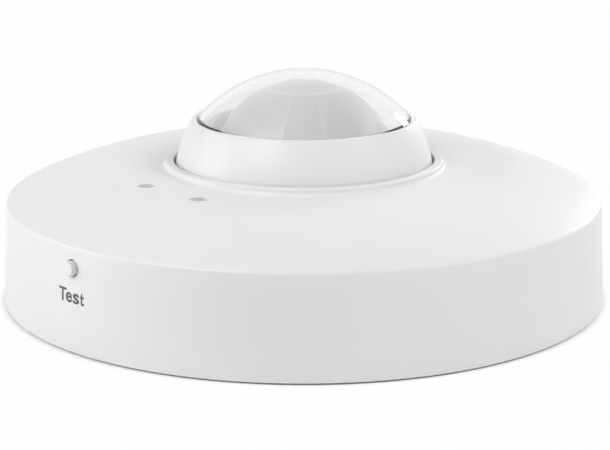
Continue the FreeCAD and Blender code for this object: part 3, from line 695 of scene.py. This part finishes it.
def coverGussets():
    inner = wallRadius(cover["rimHeight"], cover["wall"])
    outer = wallRadius(cover["rimHeight"], cover["wall"] / 2)
    underRim = cover["rimHeight"] - cover["wall"] / 2
    underCrest = cover["crestHeight"] - cover["wall"]
    tip = inner - cover["gussetWidth"]
    tipHeight = underRim + cover["gussetWidth"] * (underCrest - underRim) / (inner - cover["crestRadius"])
    foot = underRim - cover["gussetHeight"]
    corners = [(outer, foot), (inner, foot), (tip, tipHeight), (tip, tipHeight + cover["wall"] / 2),
               (outer, underRim), (outer, foot)]
    web = fillOutline(drawOutline("gusset", corners), cover["gussetThickness"])
    step = 360.0 / cover["gussets"]
    webs = [turnedCopy(web, (count + 0.5) * step - 90.0) for count in range(cover["gussets"])]
    bpy.data.objects.remove(web)
    return webs


def coverLedges():
    outer = wallRadius(cover["ledgeTop"], cover["wall"] / 2)
    bottom = cover["ledgeTop"] - cover["ledgeHeight"]
    corners = [(cover["ledgeInner"], bottom), (outer, bottom), (outer, cover["ledgeTop"]),
               (cover["ledgeInner"], cover["ledgeTop"]), (cover["ledgeInner"], bottom)]
    spread = cover["ledgeWidth"] / cover["ledgeInner"]
    ledge = drawOutline("ledge", corners)
    openMesh(ledge)
    bpy.ops.mesh.select_all(action="SELECT")
    bpy.ops.mesh.edge_face_add()
    bpy.ops.mesh.spin(steps=8, angle=spread, center=(0, 0, 0), axis=(0, 0, 1))
    closeMesh()
    tidyMesh(ledge)
    heart = sum((vert.co for vert in ledge.data.vertices), Vector()) / len(ledge.data.vertices)
    start = math.degrees(math.atan2(heart.y, heart.x))
    ledges = [turnedCopy(ledge, degrees - start) for degrees in cover["ledges"]]
    bpy.data.objects.remove(ledge)
    return ledges


def coverForms():
    # gussets, snap ledges, light guide bosses and the button's guide, all inside the shell
    forms = coverGussets() + coverLedges()
    top = flatHeight(cover["windowCircle"]) - cover["wall"] / 2
    bottom = top - cover["wall"] / 2 - cover["windowDepth"]
    for x, y in windowPlaces():
        forms.append(addRod(cover["window"] + cover["windowWall"], (x, y, bottom), (x, y, top)))
    height = buttonMiddle()
    shoulder = -wallRadius(height, cover["buttonSkin"])
    forms.append(addRod(cover["buttonBore"] + cover["buttonWall"],
                        (0, -wallRadius(height, cover["wall"] / 2), height),
                        (0, shoulder + cover["buttonGuide"], height)))
    return joinPieces(forms)


def flaredCutter(name, radius, surface, reach, bore=None):
    # turned about Z and pointing up, with a rounded mouth where it leaves the surface
    flare = cover["holeRound"]
    mouth = arcPoints((radius + flare, surface - flare), flare, math.pi, math.pi / 2, 4)
    points = [(0, surface - reach)]
    if bore:
        points += [(bore[0], surface - reach), (bore[0], surface - bore[1]), (radius, surface - bore[1])]
    else:
        points.append((radius, surface - reach))
    points += mouth + [(radius + flare, surface + 2), (0, surface + 2), (0, surface - reach)]
    return turnOutline(drawOutline(name, points), 72)


def coverCutters():
    cutters = []
    for x, y in windowPlaces():
        cutter = flaredCutter("windowCutter", cover["window"], flatHeight(cover["windowCircle"]), 8)
        cutter.location = (x * mm, y * mm, 0)
        focus(cutter)
        bpy.ops.object.transform_apply(location=True, rotation=True, scale=True)
        cutters.append(cutter)
    height = buttonMiddle()
    cutter = flaredCutter("buttonCutter", cover["buttonHole"], wallRadius(height), 10,
                          (cover["buttonBore"], cover["buttonSkin"]))
    cutter.location = (0, 0, height * mm)
    cutter.rotation_euler.x = math.pi / 2
    focus(cutter)
    bpy.ops.object.transform_apply(location=True, rotation=True, scale=True)
    return joinPieces(cutters + [cutter])


def makeFrontCover():
    low, high = nodeBox("front_cover")
    bottom, top = low.z, high.z
    rimRadius = cover["bottomRadius"] - cover["wallLean"]
    wallFoot = (cover["bottomRadius"], bottom)
    inside = cover["bottomRadius"] - cover["wall"]
    outline = [(inside, bottom), wallFoot]
    for step in range(1, 6):
        height = bottom + (cover["rimHeight"] - bottom) * step / 6
        outline.append((wallRadius(height), height))
    outline += domeLine()
    outline += [(cover["collarOuter"], cover["collarFoot"]), (cover["collarOuter"], top),
                (cover["collarInner"], top), (cover["collarBore"], cover["boreHeight"]),
                (cover["collarTube"], cover["boreHeight"]),
                (cover["collarTube"], cover["undersideHeight"]),
                (cover["crestRadius"], cover["crestHeight"] - cover["wall"]),
                (rimRadius - cover["wall"], cover["rimHeight"] - cover["wall"] / 2),
                (inside, bottom)]
    rounds = [(rimRadius, cover["rimHeight"], cover["rimRound"]), (*wallFoot, cover["bottomRound"]),
              (cover["collarOuter"], cover["collarFoot"], cover["footRound"]),
              (cover["collarOuter"], top, cover["collarRound"]),
              (cover["collarInner"], top, cover["mouthRound"])]
    piece = turnOutline(drawOutline("frontCover", outline, rounds), cover["steps"])
    combine(piece, coverForms(), "UNION")
    combine(piece, coverCutters(), "DIFFERENCE")
    smooth(piece)
    finishPiece(piece, shellWhite, "housing", ["front_cover"])


# lens ring, and the lens: a clear dome over a frosted one

ring = {
    "steps": 256,
    "bore": 19.75,
    "lip": 20.31,
    "sphere": 23.80,
    "centre": 19.9,
    "skirt": 1.0,
    "sleeve": 22.65,
    "pocket": 21.45,
    "seat": 24.5,
    "flangeTop": 25.9,
    "lipRound": 0.2,
    "boreRound": 0.08,
}

lens = {
    "steps": 256,
    "skirt": 19.5,
    "flange": 21.4,
    "seat": 24.5,
    "flangeTop": 25.9,
    "sphere": 26.1,
    "wall": 1.2,
    "rows": 60,
}

innerDome = {                                      # angles in degrees from the top
    "segments": 12,
    "sphere": 17.9,
    "topGap": 1.95,
    "wall": 0.6,
    "tiers": (25.4, 9.0),
    "rows": 6,
    "tierStep": 0.1,
    "tierLine": 1.0,
    "tierHighlightReach": 0.2,
    "seamWidth": 0.3,
    "foot": 18.25,
    "footHeight": 0.8,
}


def makeLensRing():
    low, high = nodeBox("lens_ring")
    bottom, top = low.z, high.z
    lowAngle = math.asin(-ring["skirt"] / ring["sphere"])
    lipAngle = math.acos(ring["lip"] / ring["sphere"])
    outline = [(ring["sleeve"], bottom), (ring["sleeve"], ring["seat"]), (ring["pocket"], ring["seat"]),
               (ring["pocket"], ring["flangeTop"]), (ring["bore"], ring["flangeTop"]),
               (ring["bore"], top)]
    outline += arcPoints((0, ring["centre"]), ring["sphere"], lipAngle, lowAngle, 40)
    outline.append(outline[0])
    rounds = [(ring["lip"], ring["centre"] + ring["sphere"] * math.sin(lipAngle), ring["lipRound"]),
              (ring["bore"], top, ring["boreRound"])]
    piece = turnOutline(drawOutline("lensRing", outline, rounds), ring["steps"])
    smooth(piece)
    finishPiece(piece, shellWhite, "housing", ["lens_ring"])


def onSeam(low, high):
    # an edge that climbs along a seam keeps its angle about the lens axis
    climbs = abs(high.z - low.z) > 0.0002 * mm
    return climbs and abs(math.atan2(low.y, low.x) - math.atan2(high.y, high.x)) < 0.001


def makeInnerDome():
    # frosted dome of flat-sided segments behind the clear one, with a small step at each tier, and painted
    # highlight lines along its seams and steps
    top = nodeBox("lens")[1].z - innerDome["topGap"]
    centre = top - innerDome["sphere"]
    footTop = lens["seat"] + innerDome["footHeight"]
    last = math.acos((footTop - centre) / innerDome["sphere"])
    stations = [(innerDome["foot"], lens["seat"]), (innerDome["foot"], footTop)]
    lines = []
    for count, tier in enumerate(innerDome["tiers"]):
        radius = innerDome["sphere"] - innerDome["tierStep"] * count
        tier = math.radians(tier)
        for row in range(innerDome["rows"] + 1):
            angle = last + (tier - last) * row / innerDome["rows"]
            stations.append((radius * math.sin(angle), centre + radius * math.cos(angle)))
        lines.append(stations[-1][1])              # a painted highlight line, paler than the frosted faces, starts at this height
        last = tier - math.radians(innerDome["tierLine"])
    clearSelection()
    bpy.ops.mesh.primitive_circle_add(vertices=innerDome["segments"], radius=stations[0][0] * mm,
                                      fill_type="NGON", location=(0, 0, stations[0][1] * mm))
    piece = bpy.context.object
    bpy.ops.object.transform_apply(location=True, rotation=True, scale=True)
    piece.data.materials.append(lensFrosted)
    piece.data.materials.append(lensSeamHighlight)
    bpy.ops.object.mode_set(mode="EDIT")
    bpy.ops.mesh.select_all(action="SELECT")
    for before, place in zip(stations, stations[1:]):
        bpy.ops.mesh.extrude_region_move(
            TRANSFORM_OT_translate={"value": (0, 0, (place[1] - before[1]) * mm)})
        share = place[0] / before[0]
        bpy.ops.transform.resize(value=(share, share, 1), center_override=(0, 0, place[1] * mm))
    closeMesh()
    tidyMesh(piece)
    openMesh(piece, "EDGE")
    selectEdges(piece, lambda place, edge: onSeam(edge.verts[0].co, edge.verts[1].co))
    # the seam chamfers are real geometry, and their faces get the paler seam material: a painted highlight
    # along each seam
    bpy.ops.mesh.bevel(offset=innerDome["seamWidth"] / 2 * mm, segments=1, affect="EDGES", material=1)
    bpy.ops.mesh.select_mode(type="FACE")
    # a thin band of faces above each tier step gets the paler seam material too: a painted highlight along
    # the step
    reach = innerDome["tierHighlightReach"]
    selectFaces(piece, lambda place, normal: any(0 < place.z - line < reach for line in lines))
    piece.active_material_index = 1
    bpy.ops.object.material_slot_assign()
    selectFaces(piece, lambda place, normal: place.z < lens["seat"] + 0.001)
    bpy.ops.mesh.delete(type="FACE")
    closeMesh()
    modifier = piece.modifiers.new("wall", "SOLIDIFY")
    modifier.thickness = innerDome["wall"] * mm
    modifier.offset = -1.0
    applyModifier(piece, modifier)
    smooth(piece, 12)
    return piece


def makeLens():
    top = nodeBox("lens")[1].z
    centre = top - lens["sphere"]
    inner = lens["sphere"] - lens["wall"]
    skirt = lens["skirt"] - lens["wall"]
    outline = [(skirt, lens["seat"]), (lens["flange"], lens["seat"]), (lens["flange"], lens["flangeTop"]),
               (lens["skirt"], lens["flangeTop"])]
    outerAngle = math.acos(lens["skirt"] / lens["sphere"])
    innerAngle = math.acos(skirt / inner)
    outline += arcPoints((0, centre), lens["sphere"], outerAngle, math.pi / 2, lens["rows"])
    outline += arcPoints((0, centre), inner, math.pi / 2, innerAngle, lens["rows"])
    outline.append(outline[0])
    piece = turnOutline(drawOutline("domeLens", outline), lens["steps"])
    openMesh(piece)
    bpy.ops.mesh.select_all(action="SELECT")
    bpy.ops.mesh.delete_loose()
    closeMesh()
    piece.data.materials.append(lensClear)
    smooth(piece, 20)
    joinPieces([piece, makeInnerDome()])
    finishPiece(piece, None, "housing", ["lens"])


# test button and its label

button = {
    "radius": 1.24,
    "round": 0.2,
    "flange": 2.2,
    "flangeLength": 3.0,
    "flangeRound": 0.15,
    "stem": 1.5,
    "stemRound": 0.2,
}


def makeTestButton():
    low, high = nodeBox("test_button")
    height = buttonMiddle()
    length = high.y - low.y
    shoulder = -wallRadius(height, cover["buttonSkin"]) - low.y
    points = [(0, 0), (button["radius"], 0), (button["radius"], shoulder), (button["flange"], shoulder),
              (button["flange"], shoulder + button["flangeLength"]),
              (button["stem"], shoulder + button["flangeLength"]), (button["stem"], length), (0, length)]
    rounds = [(button["radius"], 0, button["round"]), (button["flange"], shoulder, button["flangeRound"]),
              (button["stem"], length, button["stemRound"])]
    piece = turnOutline(drawOutline("testButton", points, rounds), 72)
    openMesh(piece)
    bpy.ops.mesh.select_all(action="SELECT")
    bpy.ops.transform.rotate(value=math.pi / 2, orient_axis="X", center_override=(0, 0, 0))
    bpy.ops.transform.translate(value=(0, low.y * mm, height * mm))
    closeMesh()
    tidyMesh(piece)
    smooth(piece)
    finishPiece(piece, buttonWhite, "button", ["test_button"])


label = {
    # letter, left edge, width, height, and how far its top is drawn up above drawnFrom of its height
    "letters": (("T", -3.39, 2.00, 2.33, 0.0), ("e", -1.53, 1.62, 1.74, 0.0),
                ("s", 0.34, 1.59, 1.78, 0.0), ("t", 2.15, 1.01, 1.93, 0.33)),
    "baseline": 8.76,
    "weight": 0.02,
    "drawnFrom": 0.85,
    "strip": 0.26,
    "stripsEachSide": 16,
    "clearance": 0.004,
    "thickness": 0.03,
}


def makeLetter(letter, left, width, height, drawn):
    clearSelection()
    bpy.ops.object.text_add(location=(0, 0, 0))
    text = bpy.context.object.data
    text.body = letter
    text.offset = label["weight"]
    text.resolution_u = 4
    text.fill_mode = "BOTH"
    bpy.ops.object.convert(target="MESH")
    piece = bpy.context.object
    xs = [vert.co.x for vert in piece.data.vertices]
    ys = [vert.co.y for vert in piece.data.vertices]
    for vert in piece.data.vertices:
        across = (vert.co.x - min(xs)) / (max(xs) - min(xs))
        up = (vert.co.y - min(ys)) / (max(ys) - min(ys))
        rise = height * up + (drawn if up > label["drawnFrom"] else 0.0)
        vert.co = Vector((left + width * across, -cover["bottomRadius"], label["baseline"] + rise)) * mm
    return piece


def makeLabel():
    # the word is wrapped on the wall under the button
    piece = joinPieces([makeLetter(*letter) for letter in label["letters"]])
    piece.name = "testLabel"
    openMesh(piece)
    bpy.ops.mesh.select_all(action="SELECT")
    bpy.ops.mesh.remove_doubles(threshold=0.001 * mm)
    for cut in range(-label["stripsEachSide"], label["stripsEachSide"] + 1):
        bpy.ops.mesh.select_all(action="SELECT")
        bpy.ops.mesh.bisect(plane_co=(cut * label["strip"] * mm, 0, 0), plane_no=(1, 0, 0))
    closeMesh()
    for vert in piece.data.vertices:
        radius = wallRadius(vert.co.z / mm, -label["clearance"]) * mm
        vert.co.y = -math.sqrt(radius ** 2 - vert.co.x ** 2)
    modifier = piece.modifiers.new("ink", "SOLIDIFY")
    modifier.thickness = label["thickness"] * mm
    modifier.offset = 1.0
    applyModifier(piece, modifier)
    tidyMesh(piece, 0.00001)
    finishPiece(piece, labelInk, "housing")


makeFrontCover()
makeLensRing()
makeLens()
makeTestButton()
makeLabel()
print("outside pieces ready")


# stage, lamps and camera

stage = {
    "floorDrop": 0.02,
    "floorSize": 3000.0,
    "floorColour": (0.88, 0.88, 0.88),
    "floorWhite": 0.96,
    "shadeFrom": 56.0,
    "shadeTo": 54.5,
    "ambient": 0.1,
    "aimHeight": 15.0,
}


def seenDirectly(nodes, links):
    # 1 for what the camera, a reflection or a view through glass meets
    path = nodes.new("ShaderNodeLightPath")
    some = nodes.new("ShaderNodeMath")
    some.operation = "MAXIMUM"
    every = nodes.new("ShaderNodeMath")
    every.operation = "MAXIMUM"
    links.new(path.outputs["Is Camera Ray"], some.inputs[0])
    links.new(path.outputs["Is Glossy Ray"], some.inputs[1])
    links.new(some.outputs[0], every.inputs[0])
    links.new(path.outputs["Is Transmission Ray"], every.inputs[1])
    return every.outputs[0]


def makeWorld():
    world = bpy.data.worlds.new("studioWorld")
    bpy.context.scene.world = world
    world.use_nodes = True
    nodes, links = world.node_tree.nodes, world.node_tree.links
    nodes.clear()
    out = nodes.new("ShaderNodeOutputWorld")
    seen = nodes.new("ShaderNodeBackground")
    seen.inputs["Color"].default_value = (1, 1, 1, 1)
    seen.inputs["Strength"].default_value = 1.0
    soft = nodes.new("ShaderNodeBackground")
    soft.inputs["Color"].default_value = (1, 1, 1, 1)
    soft.inputs["Strength"].default_value = stage["ambient"]
    mix = nodes.new("ShaderNodeMixShader")
    links.new(seenDirectly(nodes, links), mix.inputs[0])
    links.new(soft.outputs[0], mix.inputs[1])
    links.new(seen.outputs[0], mix.inputs[2])
    links.new(mix.outputs[0], out.inputs["Surface"])


def makeFloor():
    clearSelection()
    bpy.ops.mesh.primitive_plane_add(size=stage["floorSize"] * mm,
                                     location=(0, 0, cadBox[0].z - stage["floorDrop"] * mm))
    floor = bpy.context.object
    floor.name = "studioFloor"
    material, nodes, links, shader = newMaterial("floorPale")
    shader.inputs["Base Color"].default_value = (*stage["floorColour"], 1)
    shader.inputs["Roughness"].default_value = 0.9
    shader.inputs["Specular IOR Level"].default_value = 0.0
    glow = nodes.new("ShaderNodeEmission")
    mix = nodes.new("ShaderNodeMixShader")
    place = nodes.new("ShaderNodeTexCoord")
    away = nodes.new("ShaderNodeVectorMath")
    away.operation = "LENGTH"
    links.new(place.outputs["Object"], away.inputs[0])
    white = nodes.new("ShaderNodeMapRange")        # glow masked off in a ring at the cover's edge: the floor there shows its real shadow, and is darker than the glowing floor even where lit, a painted shade under the cover's edge
    white.inputs["From Min"].default_value = stage["shadeTo"] * mm
    white.inputs["From Max"].default_value = stage["shadeFrom"] * mm
    white.inputs["To Max"].default_value = stage["floorWhite"]
    links.new(away.outputs["Value"], white.inputs["Value"])
    share = nodes.new("ShaderNodeMath")
    share.operation = "MULTIPLY"
    links.new(seenDirectly(nodes, links), share.inputs[0])
    links.new(white.outputs["Result"], share.inputs[1])
    links.new(share.outputs[0], mix.inputs[0])
    links.new(shader.outputs[0], mix.inputs[1])
    links.new(glow.outputs[0], mix.inputs[2])
    links.new(mix.outputs[0], nodes["Material Output"].inputs["Surface"])
    floor.data.materials.append(material)


lamps = {
    "frontLight": {"azimuth": 0, "elevation": 40, "reach": 700, "size": 400, "watts": 2.16},
    "rightLight": {"azimuth": 112.5, "elevation": 40, "reach": 700, "size": 400, "watts": 2.79,
                   "mirrored": False},
    "leftLight": {"azimuth": -45, "elevation": 16, "reach": 700, "size": 400, "watts": 1.75},
    "lowBackLight": {"azimuth": 188, "elevation": 16, "reach": 700, "size": 160, "watts": 0.75},
    "backLight": {"azimuth": 202.5, "elevation": 40, "reach": 700, "size": 400, "watts": 0.84,
                  "mirrored": False},
}


def makeLamp(name, azimuth, elevation, reach, size, watts, mirrored=True):
    data = bpy.data.lights.new(name, "AREA")
    data.shape = "DISK"
    data.size = size * mm
    data.energy = watts
    lamp = bpy.data.objects.new(name, data)
    bpy.context.collection.objects.link(lamp)
    turn, lift = math.radians(azimuth), math.radians(elevation)
    away = Vector((math.sin(turn) * math.cos(lift), -math.cos(turn) * math.cos(lift), math.sin(lift)))
    lamp.location = away * reach * mm + Vector((0, 0, stage["aimHeight"] * mm))
    lamp.rotation_euler = away.to_track_quat("Z", "Y").to_euler()
    lamp.visible_glossy = mirrored
    lamp.visible_transmission = False


view = {
    "azimuth": 45.0,
    "distance": 351.15,
    "height": 103.6,
    "tilt": 75.39,
    "focalLength": 116.08,
    "shift": 0.0015,
}


def makeCamera():
    data = bpy.data.cameras.new("camera")
    data.lens = view["focalLength"]
    data.sensor_width = 36.0
    data.shift_x = view["shift"]
    camera = bpy.data.objects.new("camera", data)
    bpy.context.collection.objects.link(camera)
    turn = math.radians(view["azimuth"])
    camera.location = (view["distance"] * mm * math.sin(turn), -view["distance"] * mm * math.cos(turn),
                       view["height"] * mm)
    camera.rotation_euler = (math.radians(view["tilt"]), 0, turn)
    bpy.context.scene.camera = camera


makeWorld()
makeFloor()
for lampName, lampValues in lamps.items():
    makeLamp(lampName, **lampValues)
makeCamera()
bpy.context.scene.view_settings.view_transform = "Standard"
print("stage ready")
